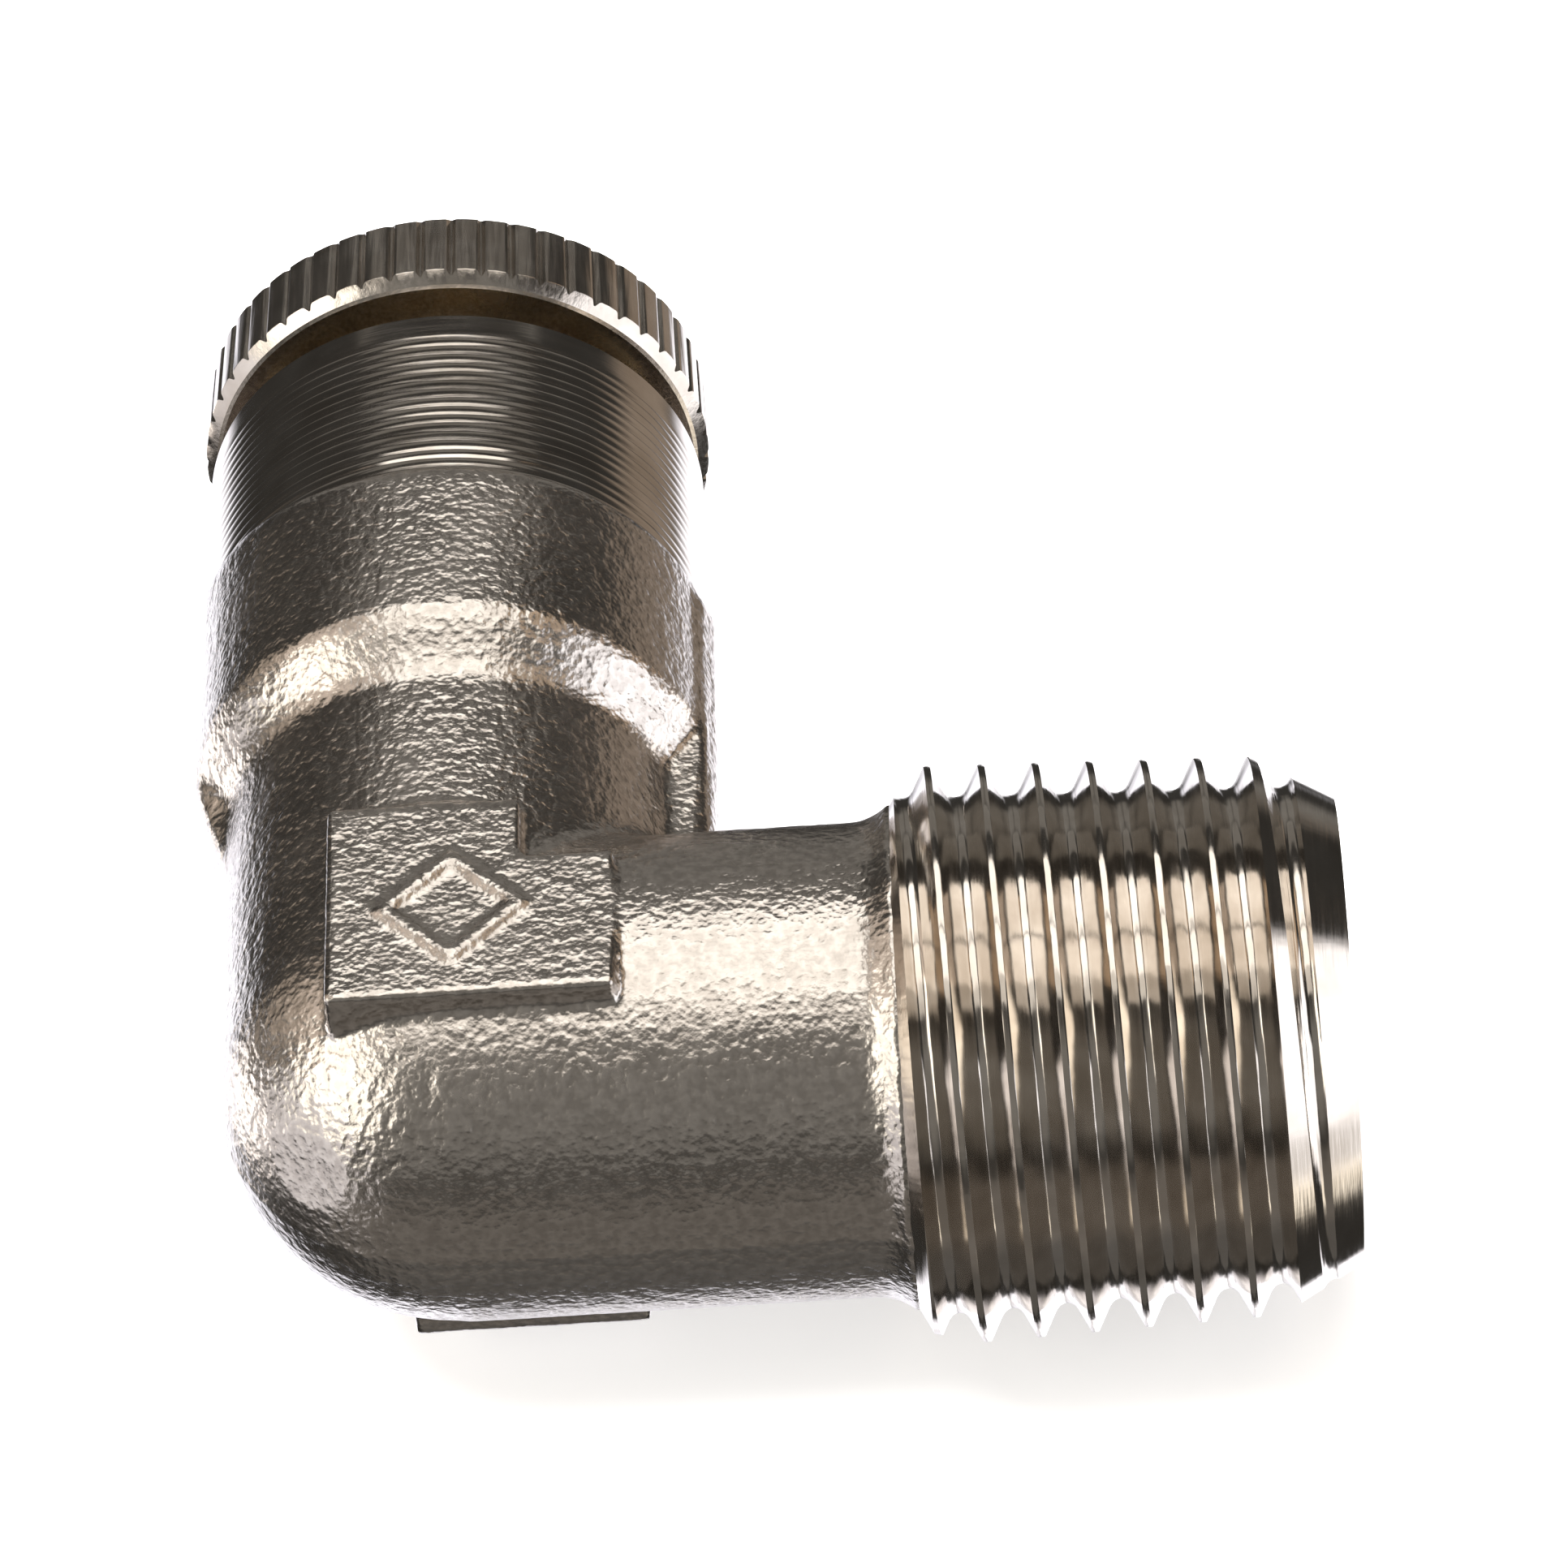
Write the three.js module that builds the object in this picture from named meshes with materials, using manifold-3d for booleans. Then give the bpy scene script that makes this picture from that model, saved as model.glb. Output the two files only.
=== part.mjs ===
// Push-in elbow: 4 mm tube to R1/8 male taper thread, forged body, knurled release ring and tube cartridge.
// Millimetres. +X runs out of the thread, +Y out of the tube leg and +Z is the normal of the elbow's plane.
// The pieces are drawn about the crossing of the two leg axes. The whole group is then moved, so that its
// origin is under the middle of the part, on the surface that it lies on.
import * as THREE from "three";
import { mergeVertices } from "three/addons/utils/BufferGeometryUtils.js";
import Module from "manifold-3d";

const wasm = await Module();
wasm.setup();

// Male taper thread R1/8
const THREAD_GAUGE_R = 4.864; // major radius at the gauge plane
const THREAD_GAUGE_L = 4.0; // from the end face to the gauge plane
const THREAD_PITCH = 0.907;
const THREAD_TAPER = 1 / 32; // on the radius
const THREAD_CREST_LOSS = 0.08; // crests stay this much under the full form
const THREAD_DEPTH = 0.54;
const THREAD_FLANK = Math.tan((27.5 * Math.PI) / 180);
const THREAD_CREST_FLAT = 0.06;
const THREAD_RUNOUT_L = 0.5;
const THREAD_L = 7.32; // end face to where the first groove starts
const THREAD_END_X = 15.07;
const THREAD_PHASE_X = 13.594; // a crest passes here on the +Y side
const NOSE_R = 4.0; // small end of the chamfer at the thread's end
const NOSE_L = 1.27;

// Forged elbow
const LEG_R = 4.0; // thread leg
const TUBE_LEG_R = 3.96; // tube leg, below the boss
const HEEL_R = 3.97; // ball that rounds the outer corner
const COVE_L = 1.1; // fillet from the leg up to the first full crest
const COVE_OVERLAP = 0.32; // stretch of the fillet that the first groove cuts
const BOSS_STEP = 0.11; // boss over the turned band
const BOSS_L = 3.6;
const BOSS_TOP_Y = 10.55;
const SHOULDER_L = 1.1;
const BAND_L = 4.05; // turned part of the boss
const MOUTH_WALL = 0.83;
const MOUTH_CHAMFER = 0.12;

// Raised pads on both broad sides, and the trimmed flash between the legs
const PAD_LIFT = 0.05; // over the crown of the legs
const PAD_X0 = -1.8;
const PAD_Y0 = -1.78;
const PAD_X1 = 1.45;
const PAD_Y1 = 2.7;
const PAD_ARM_X = 3.0;
const PAD_ARM_Y = 1.35;
const UNDER_PAD_X0 = -1.0; // the pad underneath is shorter and reaches further out
const UNDER_PAD_Y0 = -1.98;
const PAD_EDGE = 0.12;
const LOZENGE_R = 1.2; // plain raised emblem
const LOZENGE_LIFT = 0.1;
const LOZENGE_X = 0.3;
const LOZENGE_Y = 0.2;
const LAND_LIFT = 0.08; // over the boss
const LAND_W = 2.1;
const LAND_END_GAP = 0.4; // short of the boss's top edge
const OUTER_LAND_SINK = 0.06; // under the boss, on the outer side
const OUTER_LAND_FADE_Y = 4.9; // the outer land runs out into the leg here
const OUTER_LAND_FULL_Y = 6.1;

// Bores
const TUBE_R = 2.0;
const TUBE_CLEARANCE = 0.06;
const CARTRIDGE_W = 1.6; // room round the tube for the seal and the rings
const CARTRIDGE_L = 6.75;
const TUBE_SOCKET_L = 3.3;
const PASSAGE_R = 1.5;
const THREAD_BORE_R = 3.04;
const THREAD_BORE_L = 6.7;
const ENTRY_CHAMFER = 0.15;

// Release ring and the sleeve that it is pressed on
const PRESS_TRAVEL = 0.7;
const PRESS_GAP = PRESS_TRAVEL + 0.1; // mouth to ring, with the ring released
const RING_LIFT = 0.13; // over the turned band
const RING_L = 1.72;
const RING_CHAMFER = 0.2; // on the radius
const RING_CHAMFER_L = 0.13;
const KNURL_COUNT = 52;
const KNURL_DEPTH = 0.12;
const KNURL_LAND = 0.62; // share of a tooth that is flat
const SLEEVE_WALL = 0.5;
const SLEEVE_NOSE_LIFT = 0.18; // snap edge that the bush holds back
const SLEEVE_NOSE_L = 0.9;
const SLEEVE_TIP_L = 0.35;
const SLEEVE_SLOTS = 4;
const SLEEVE_SLOT_W = 0.6;
const SLEEVE_SLOT_L = 1.9;

// Tube cartridge, from the bottom of its bore to the mouth
const SEAT_GAP = 0.04; // round a piece that is pressed or seated
const SLIDE_GAP = 0.07; // round the sliding sleeve
const SEAL_SQUEEZE = 0.04; // seal inside the tube's skin
const SEAL_AXIAL_GAP = 0.03;
const SUPPORT_L = 0.95;
const GRIP_T = 0.16;
const GRIP_RIM_W = 0.8;
const GRIP_TIP_GAP = 0.03; // tooth tips to the tube's skin, at rest
const GRIP_LEAN = Math.tan((33 * Math.PI) / 180);
const GRIP_TEETH = 10;
const GRIP_SLOT_W = 0.32;
const STACK_GAP = 0.03;
const BUSH_RECESS = 0.05; // below the mouth

const TUBE_SOCKET_R = TUBE_R + TUBE_CLEARANCE;
const CARTRIDGE_R = TUBE_R + CARTRIDGE_W;
const BAND_R = CARTRIDGE_R + MOUTH_WALL;
const BOSS_R = BAND_R + BOSS_STEP;
const RING_R = BAND_R + RING_LIFT;
const SLEEVE_R = TUBE_SOCKET_R + SLEEVE_WALL;
const MOUTH_Y = BOSS_TOP_Y + BOSS_STEP / 2 + BAND_L;
const THREAD_START_X = THREAD_END_X - THREAD_L;
const COVE_START_X = THREAD_START_X + COVE_OVERLAP - COVE_L;
const CARTRIDGE_FLOOR_Y = MOUTH_Y - CARTRIDGE_L;
const TUBE_STOP_Y = CARTRIDGE_FLOOR_Y - TUBE_SOCKET_L;
const RING_Y = MOUTH_Y + PRESS_GAP;
const RING_TOP_Y = RING_Y + RING_L;
const SEATED_R = CARTRIDGE_R - SEAT_GAP;
const SEAL_CORE_R = (SEATED_R - TUBE_R + SEAL_SQUEEZE) / 2;
const SEAL_Y = CARTRIDGE_FLOOR_Y + SEAL_AXIAL_GAP + SEAL_CORE_R;
const SUPPORT_Y = SEAL_Y + SEAL_CORE_R + SEAL_AXIAL_GAP;
const GRIP_Y = SUPPORT_Y + SUPPORT_L + STACK_GAP;
const GRIP_INNER_R = SEATED_R - GRIP_RIM_W;
const GRIP_TIP_R = TUBE_R + GRIP_TIP_GAP;
const BUSH_Y = GRIP_Y + GRIP_T + STACK_GAP;
const BUSH_TOP_Y = MOUTH_Y - BUSH_RECESS;
const SLEEVE_TIP_Y = BUSH_Y + PRESS_TRAVEL + STACK_GAP;
const SLEEVE_NOSE_TOP_Y = SLEEVE_TIP_Y + SLEEVE_NOSE_L;
const BUSH_STEP_Y = SLEEVE_NOSE_TOP_Y + STACK_GAP;

const finish = {
  forged_nickel: { color: 0x8f8579, roughness: 0.42, metalness: 1 },
  turned_nickel: { color: 0x9a9188, roughness: 0.22, metalness: 1 },
  brass: { color: 0xb89a5a, roughness: 0.3, metalness: 1 },
  stainless: { color: 0xa8a9aa, roughness: 0.25, metalness: 1 },
  rubber: { color: 0x1b1b1c, roughness: 0.6, metalness: 0 },
};

// A closed three.js geometry as a solid that can be joined and cut.
function solid(geometry) {
  const bare = geometry.clone();
  bare.deleteAttribute("normal");
  bare.deleteAttribute("uv");
  const merged = mergeVertices(bare, 1e-5);
  const index = [];
  for (let i = 0; i < merged.index.count; i += 3) {
    const [a, b, c] = [0, 1, 2].map((k) => merged.index.getX(i + k));
    if (a !== b && b !== c && c !== a) index.push(a, b, c);
  }
  const vertProperties = merged.attributes.position.array;
  return new wasm.Manifold(new wasm.Mesh({ numProp: 3, vertProperties, triVerts: new Uint32Array(index) }));
}

// Turned shape about the tube leg's axis, from [radius, y] points that run up the outside.
function turned(points, segments) {
  const profile = points.map(([r, y]) => new THREE.Vector2(r, y));
  return new THREE.LatheGeometry(profile, segments);
}

const rod = (r, y0, y1, segments = 48) => solid(turned([[0, y0], [r, y0], [r, y1], [0, y1]], segments));
const alongX = (geometry) => geometry.rotateZ(-Math.PI / 2);
const ring = (points, segments = 48) => solid(turned([...points, points[0]], segments));

function block(x0, x1, y0, y1, z0, z1) {
  const box = new THREE.BoxGeometry(x1 - x0, y1 - y0, z1 - z0);
  return solid(box.translate((x0 + x1) / 2, (y0 + y1) / 2, (z0 + z1) / 2));
}

// Blank of the thread before it is cut: the fillet up from the leg, the taper and the chamfer at the end.
function blankRadius(x) {
  const taper = THREAD_GAUGE_R - THREAD_CREST_LOSS + (THREAD_END_X - THREAD_GAUGE_L - x) * THREAD_TAPER;
  const rise = THREE.MathUtils.clamp((x - COVE_START_X) / COVE_L, 0, 1) ** 2;
  const nose = NOSE_R + ((THREAD_END_X - x) * (taper - NOSE_R)) / NOSE_L;
  return Math.min(LEG_R + rise * (taper - LEG_R), nose);
}

// Crest, flank and root of the thread at a place x along it and an angle phi from +Y towards +Z.
function threadRadius(x, phi) {
  const full = THREAD_GAUGE_R - THREAD_CREST_LOSS + (THREAD_END_X - THREAD_GAUGE_L - x) * THREAD_TAPER;
  const turn = (x - THREAD_PHASE_X) / THREAD_PITCH - phi / (2 * Math.PI);
  const fromCrest = Math.abs(turn - Math.round(turn)) * THREAD_PITCH;
  const groove = Math.min(THREAD_DEPTH, Math.max(0, fromCrest - THREAD_CREST_FLAT / 2) / THREAD_FLANK);
  const runout = THREE.MathUtils.clamp((x - THREAD_START_X) / THREAD_RUNOUT_L, 0, 1);
  return Math.min(full - groove * runout, blankRadius(x));
}

function threadLeg() {
  const rowsPerTurn = 6;
  const rows = Math.round((THREAD_L / THREAD_PITCH) * rowsPerTurn);
  const points = [[0, 0]];
  const coveSteps = 5;
  for (let i = 0; i < coveSteps; i++) {
    const x = COVE_START_X + ((THREAD_START_X - COVE_START_X) * i) / coveSteps;
    if (i === 0) points.push([LEG_R, 0]);
    points.push([blankRadius(x), x]);
  }
  for (let i = 0; i <= rows; i++) points.push([LEG_R, THREAD_START_X + (THREAD_L * i) / rows]);
  points.push([0, THREAD_END_X]);
  const leg = alongX(turned(points, 44));
  const place = leg.attributes.position;
  for (let i = 0; i < place.count; i++) {
    const [x, y, z] = [place.getX(i), place.getY(i), place.getZ(i)];
    const r = Math.hypot(y, z);
    if (r < 1 || x < THREAD_START_X - 1e-4) continue;
    const wanted = threadRadius(x, Math.atan2(z, y));
    place.setXYZ(i, x, (y / r) * wanted, (z / r) * wanted);
  }
  return solid(leg);
}

function tubeLeg() {
  const shoulderY = BOSS_TOP_Y - BOSS_L;
  const stepY = BOSS_TOP_Y + BOSS_STEP / 2;
  const points = [[0, 0], [TUBE_LEG_R, 0], [TUBE_LEG_R, shoulderY - SHOULDER_L]];
  const roundSteps = 5;
  for (let i = 1; i <= roundSteps; i++) {
    const a = (i / roundSteps) * Math.PI;
    const rise = ((BOSS_R - TUBE_LEG_R) * (1 - Math.cos(a))) / 2;
    points.push([TUBE_LEG_R + rise, shoulderY - SHOULDER_L * (1 - i / roundSteps)]);
  }
  points.push([BOSS_R, BOSS_TOP_Y], [BAND_R, stepY], [BAND_R, MOUTH_Y - MOUTH_CHAMFER]);
  points.push([BAND_R - MOUTH_CHAMFER, MOUTH_Y], [0, MOUTH_Y]);
  return solid(turned(points, 60));
}

// L-shaped pad with broken edges, from its outer corner: side 1 is the top, side -1 is underneath.
function pad(side, x0, y0) {
  const outline = new THREE.Shape();
  outline.moveTo(x0, y0);
  outline.lineTo(PAD_ARM_X, y0);
  outline.lineTo(PAD_ARM_X, PAD_ARM_Y);
  outline.lineTo(PAD_X1, PAD_ARM_Y);
  outline.lineTo(PAD_X1, PAD_Y1);
  outline.lineTo(x0, PAD_Y1);
  const base = LEG_R / 2;
  const bevel = { bevelEnabled: true, bevelThickness: PAD_EDGE, bevelSize: PAD_EDGE, bevelOffset: -PAD_EDGE };
  const depth = LEG_R + PAD_LIFT - base - 2 * PAD_EDGE;
  const slab = new THREE.ExtrudeGeometry(outline, { depth, bevelSegments: 1, ...bevel });
  const top = base + PAD_EDGE;
  return solid(slab.translate(0, 0, side > 0 ? top : -top - depth));
}

// Trimmed flash of the forging: full along the inner side, and faded out down the outer side.
function flashLands() {
  const face = BOSS_R + LAND_LIFT;
  const inner = block(LEG_R / 2, face, LEG_R / 2, BOSS_TOP_Y - LAND_END_GAP, -LAND_W / 2, LAND_W / 2);
  const outerFace = OUTER_LAND_SINK - BOSS_R;
  const outline = new THREE.Shape();
  outline.moveTo(-TUBE_LEG_R / 2, OUTER_LAND_FADE_Y);
  outline.lineTo(-TUBE_LEG_R / 2, BOSS_TOP_Y - BOSS_L);
  outline.lineTo(outerFace, BOSS_TOP_Y - BOSS_L);
  outline.lineTo(outerFace, OUTER_LAND_FULL_Y);
  outline.lineTo(-TUBE_LEG_R, OUTER_LAND_FADE_Y);
  const outer = new THREE.ExtrudeGeometry(outline, { depth: LAND_W, bevelEnabled: false });
  return inner.add(solid(outer.translate(0, 0, -LAND_W / 2)));
}

function lozenge() {
  const form = new THREE.CylinderGeometry(LOZENGE_R - LOZENGE_LIFT, LOZENGE_R, LOZENGE_LIFT + 1, 4);
  form.rotateX(Math.PI / 2);
  return solid(form.translate(LOZENGE_X, LOZENGE_Y, LEG_R + PAD_LIFT + LOZENGE_LIFT / 2 - 0.5));
}

function elbowBody() {
  const ball = solid(new THREE.SphereGeometry(HEEL_R, 40, 24));
  const pads = pad(1, PAD_X0, PAD_Y0).add(pad(-1, UNDER_PAD_X0, UNDER_PAD_Y0)).add(lozenge());
  let body = ball.add(threadLeg()).add(tubeLeg()).add(flashLands()).add(pads);
  const threadBore = [
    [0, THREAD_END_X - THREAD_BORE_L],
    [THREAD_BORE_R, THREAD_END_X - THREAD_BORE_L],
    [THREAD_BORE_R, THREAD_END_X + 1],
    [0, THREAD_END_X + 1],
  ];
  const passage = [[0, 0], [PASSAGE_R, 0], [PASSAGE_R, THREAD_END_X - 1], [0, THREAD_END_X - 1]];
  body = body.subtract(rod(CARTRIDGE_R, CARTRIDGE_FLOOR_Y, MOUTH_Y + 1));
  body = body.subtract(rod(TUBE_SOCKET_R, TUBE_STOP_Y, MOUTH_Y)).subtract(rod(PASSAGE_R, 0, MOUTH_Y, 32));
  body = body.subtract(solid(alongX(turned(threadBore, 48)))).subtract(solid(alongX(turned(passage, 32))));
  return body.subtract(solid(new THREE.SphereGeometry(PASSAGE_R, 32, 16)));
}

// Straight-knurled ring: the outline has a land and a V groove for each tooth.
function releaseRing() {
  const outline = new THREE.Shape();
  const step = (2 * Math.PI) / KNURL_COUNT;
  for (let i = 0; i < KNURL_COUNT; i++) {
    const corners = [
      [RING_R, (i - KNURL_LAND / 2) * step],
      [RING_R, (i + KNURL_LAND / 2) * step],
      [RING_R - KNURL_DEPTH, (i + 0.5) * step],
    ];
    corners.forEach(([r, a], k) => outline[i + k ? "lineTo" : "moveTo"](r * Math.cos(a), r * Math.sin(a)));
  }
  const knurled = new THREE.ExtrudeGeometry(outline, { depth: RING_L, bevelEnabled: false });
  knurled.rotateX(Math.PI / 2).translate(0, RING_TOP_Y, 0);
  const small = RING_R - RING_CHAMFER;
  const chamfered = [
    [0, RING_Y],
    [small, RING_Y],
    [RING_R, RING_Y + RING_CHAMFER_L],
    [RING_R, RING_TOP_Y - RING_CHAMFER_L],
    [small, RING_TOP_Y],
    [0, RING_TOP_Y],
  ];
  const bore = SLEEVE_R + SEAT_GAP / 2;
  const blank = solid(knurled).intersect(solid(turned(chamfered, 2 * KNURL_COUNT)));
  return blank.subtract(rod(bore, RING_Y - 1, RING_TOP_Y + 1));
}

// Split sleeve: it guides the tube, and its nose opens the grip ring's teeth when the ring is pressed.
function pusherSleeve() {
  const noseR = SLEEVE_R + SLEEVE_NOSE_LIFT;
  const sleeve = ring([
    [TUBE_SOCKET_R, SLEEVE_TIP_Y],
    [SLEEVE_R - SLEEVE_WALL / 2, SLEEVE_TIP_Y],
    [noseR, SLEEVE_TIP_Y + SLEEVE_TIP_L],
    [noseR, SLEEVE_NOSE_TOP_Y],
    [SLEEVE_R, SLEEVE_NOSE_TOP_Y],
    [SLEEVE_R, RING_TOP_Y],
    [TUBE_SOCKET_R + ENTRY_CHAMFER, RING_TOP_Y],
    [TUBE_SOCKET_R, RING_TOP_Y - ENTRY_CHAMFER],
  ]);
  let split = sleeve;
  for (let i = 0; i < SLEEVE_SLOTS; i++) {
    const half = SLEEVE_SLOT_W / 2;
    const slot = block(0, noseR + 1, SLEEVE_TIP_Y - 1, SLEEVE_TIP_Y + SLEEVE_SLOT_L, -half, half);
    split = split.subtract(slot.rotate([0, (i * 360) / SLEEVE_SLOTS + 45, 0]));
  }
  return split;
}

function retainingBush() {
  const slideR = SLEEVE_R + SLIDE_GAP;
  const recessR = SLEEVE_R + SLEEVE_NOSE_LIFT + SLIDE_GAP;
  return ring([
    [recessR, BUSH_Y],
    [SEATED_R, BUSH_Y],
    [SEATED_R, BUSH_TOP_Y],
    [slideR + ENTRY_CHAMFER, BUSH_TOP_Y],
    [slideR, BUSH_TOP_Y - ENTRY_CHAMFER],
    [slideR, BUSH_STEP_Y],
    [recessR, BUSH_STEP_Y],
  ]);
}

// Thin stainless ring with teeth that lean down to the tube's skin.
function gripRing() {
  const drop = (GRIP_INNER_R - GRIP_TIP_R) * GRIP_LEAN;
  let toothed = ring([
    [GRIP_INNER_R, GRIP_Y],
    [SEATED_R, GRIP_Y],
    [SEATED_R, GRIP_Y + GRIP_T],
    [GRIP_INNER_R, GRIP_Y + GRIP_T],
    [GRIP_TIP_R, GRIP_Y + GRIP_T - drop],
    [GRIP_TIP_R, GRIP_Y - drop],
  ], 60);
  for (let i = 0; i < GRIP_TEETH; i++) {
    const half = GRIP_SLOT_W / 2;
    const slot = block(0, GRIP_INNER_R, GRIP_Y - drop - 1, GRIP_Y + GRIP_T + 1, -half, half);
    toothed = toothed.subtract(slot.rotate([0, (i * 360) / GRIP_TEETH, 0]));
  }
  return toothed;
}

// Ring under the teeth: its cone keeps them from folding over and its flat foot backs the seal.
function gripSupport() {
  const topR = GRIP_INNER_R;
  const drop = (topR - TUBE_SOCKET_R) * GRIP_LEAN + STACK_GAP;
  return ring([
    [TUBE_SOCKET_R, SUPPORT_Y],
    [SEATED_R, SUPPORT_Y],
    [SEATED_R, SUPPORT_Y + SUPPORT_L],
    [topR, SUPPORT_Y + SUPPORT_L],
    [TUBE_SOCKET_R, SUPPORT_Y + SUPPORT_L - drop],
  ]);
}

function tubeSeal() {
  const seal = new THREE.TorusGeometry(SEATED_R - SEAL_CORE_R, SEAL_CORE_R, 12, 40);
  return solid(seal.rotateX(Math.PI / 2).translate(0, SEAL_Y, 0));
}

function piece(name, made, look) {
  const mesh = made.getMesh();
  const geometry = new THREE.BufferGeometry();
  geometry.setAttribute("position", new THREE.BufferAttribute(mesh.vertProperties, 3));
  geometry.setIndex(new THREE.BufferAttribute(mesh.triVerts, 1));
  const flat = geometry.toNonIndexed();
  flat.computeVertexNormals();
  const node = new THREE.Mesh(flat, new THREE.MeshStandardMaterial(look));
  node.name = name;
  return node;
}

const fixed = new THREE.Group();
fixed.add(
  piece("elbow_body", elbowBody(), finish.forged_nickel),
  piece("tube_seal", tubeSeal(), finish.rubber),
  piece("grip_support", gripSupport(), finish.brass),
  piece("grip_ring", gripRing(), finish.stainless),
  piece("retaining_bush", retainingBush(), finish.brass),
);

const releaseCollar = new THREE.Group();
releaseCollar.add(
  piece("release_ring", releaseRing(), finish.turned_nickel),
  piece("pusher_sleeve", pusherSleeve(), finish.turned_nickel),
);

const elbow = new THREE.Group();
elbow.add(fixed, releaseCollar);
const box = new THREE.Box3().setFromObject(elbow);
const middle = box.getCenter(new THREE.Vector3());
elbow.position.set(-middle.x, -middle.y, -box.min.z);

const part = new THREE.Group();
part.add(elbow);

export default part;
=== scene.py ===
"""Push-in elbow fitting: forged nickel-plated body, R1/8 taper thread, turned mouth, knurled release ring.

Shapes are drawn in millimetres about the crossing of the two leg axes: X out of the thread, Y out of the
tube leg, Z across the elbow. settle() carries each finished shape to metres and to its place in the frame.
"""

from math import cos, exp, hypot, pi, radians, sin, tan

import bmesh
import bpy
from mathutils import Matrix, Vector, noise


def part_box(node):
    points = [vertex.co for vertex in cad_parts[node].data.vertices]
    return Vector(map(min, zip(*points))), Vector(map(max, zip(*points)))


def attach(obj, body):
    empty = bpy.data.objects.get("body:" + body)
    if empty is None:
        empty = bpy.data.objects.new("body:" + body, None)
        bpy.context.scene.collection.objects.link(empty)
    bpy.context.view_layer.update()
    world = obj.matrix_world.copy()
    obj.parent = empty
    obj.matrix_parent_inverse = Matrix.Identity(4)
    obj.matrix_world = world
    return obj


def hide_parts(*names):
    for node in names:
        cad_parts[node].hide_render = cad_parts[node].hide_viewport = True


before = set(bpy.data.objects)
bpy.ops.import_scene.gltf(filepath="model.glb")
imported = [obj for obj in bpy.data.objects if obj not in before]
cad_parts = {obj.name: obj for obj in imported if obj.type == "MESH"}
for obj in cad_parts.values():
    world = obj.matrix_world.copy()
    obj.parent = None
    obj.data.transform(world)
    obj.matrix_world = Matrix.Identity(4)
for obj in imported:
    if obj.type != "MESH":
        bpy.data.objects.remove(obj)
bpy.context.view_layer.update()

MM = 0.001

# Taper thread. Stations along each leg are counted from the crossing.
PITCH = 0.907
TAPER = 1 / 32            # on the radius
GAUGE_R = 4.864           # full crest radius at the gauge plane
GAUGE_L = 4.0             # the gauge plane's distance from the end
CREST_LOSS = 0.08         # how far the crests stay under the full form
CREST_WEAR = 0.006
CREST_FLAT = 0.1
CREST_NICK = 0.026        # rounding at the crest's two edges
CREST_AT = 13.594         # one crest's station, on the tube's side
THREAD_DEPTH = 0.53
THREAD_END = 15.07
FLANK = radians(27.5)
ROOT_R = 0.2
NOSE_R = 3.92
NOSE_L = 1.4
NOSE_SHIFT = Vector((0, 0.06, -0.06))    # the end's chamfer is cut a little off centre
THREAD_BORE_R = 3.04
THREAD_BORE_L = 6.7
PASSAGE_R = 1.5

# Forged elbow
LEG_R = 4.0
TUBE_LEG_R = 3.96
HEEL_R = 3.97
BOSS_R = 4.54
BOSS_TOP = 10.62
BOSS_L = 3.6
BOSS_TILT = 0.6           # how much further the boss reaches on its left side
SHOULDER_L = 1.1
COVE_START = 6.95
COVE_END = 7.66
COVE_RISE = 0.34
PAD_FOOT = 2.0            # the pads are rooted this far up inside the legs
PAD_TOP = LEG_R + 0.05
LOZENGE_R = 1.3
LOZENGE_RISE = 0.11
LOZENGE_PLACE = (0.3, 0.2, 0)
HEEL_FLAT = Vector((-0.588, -0.746, 0.307)).normalized()
HEEL_FLAT_AT = 3.905
LEGS_GRID = 0.09
SKIN_GRID = 0.087

# Skin of the forging
FINE_PITS = 5.6           # to a millimetre
BROAD_PITS = 2.1
PIT_DEPTH = 0.007
SEAM_RISE = 0.022
SEAM_Z = -0.1
SEAM_HALF = 0.1
CALM = 0.15               # share of the pits left on the heel's flat and on the lozenge

# Turned mouth and the cartridge in it
BAND_R = 4.43
MOUTH = 14.655
CARTRIDGE_R = 3.6
CARTRIDGE_FLOOR = 7.905
TUBE_STOP = 4.605
SOCKET_R = 2.06
RIDGE_STEP = 0.225
RIDGE_DEPTH = 0.0074
RIDGE = ((0.02, 0.15), (0.08, 0.9), (0.14, 1.0), (0.2, 0.9), (0.44, 0.3), (0.52, 0.12), (0.6, 0.04),
         (1.0, 0.0))      # one ridge: [share of its step, share of its depth]
TOOTH_CONE = radians(33)
TEETH = 10

# Release ring and sleeve
RING_R = 4.56
RING_Y = 15.455
RING_TOP = 17.175
SLEEVE_R = 2.56
SLEEVE_JAWS = 4
KNURLS = 52
KNURL_DEPTH = 0.08
KNURL_LAND = 0.72         # share of a knurl's step


def place_of_crossing():
    """Where the leg axes cross, in metres: the ring gives its height and Y, the thread's end face its X."""
    ring_low, ring_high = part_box("release_ring")
    thread_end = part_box("elbow_body")[1].x
    height = (ring_low.z + ring_high.z) / 2
    return Vector((thread_end - THREAD_END * MM, ring_high.y - RING_TOP * MM, height))


CROSSING = place_of_crossing()


# ---------------------------------------------------------------- shaping tools

def wire(points, close=False, rounding=0.0, segments=3):
    """A chain of [radius, station] points in the XY plane, with its corners rounded."""
    bm = bmesh.new()
    verts = [bm.verts.new((r, s, 0)) for r, s in points]
    for a, b in zip(verts, verts[1:]):
        bm.edges.new((a, b))
    if close:
        bm.edges.new((verts[-1], verts[0]))
    if rounding:
        corners = [v for v in bm.verts if len(v.link_edges) == 2]
        bmesh.ops.bevel(bm, geom=corners, offset=rounding, offset_type="OFFSET", segments=segments,
                        profile=0.5, affect="VERTICES", material=-1)
    return bm


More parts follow.
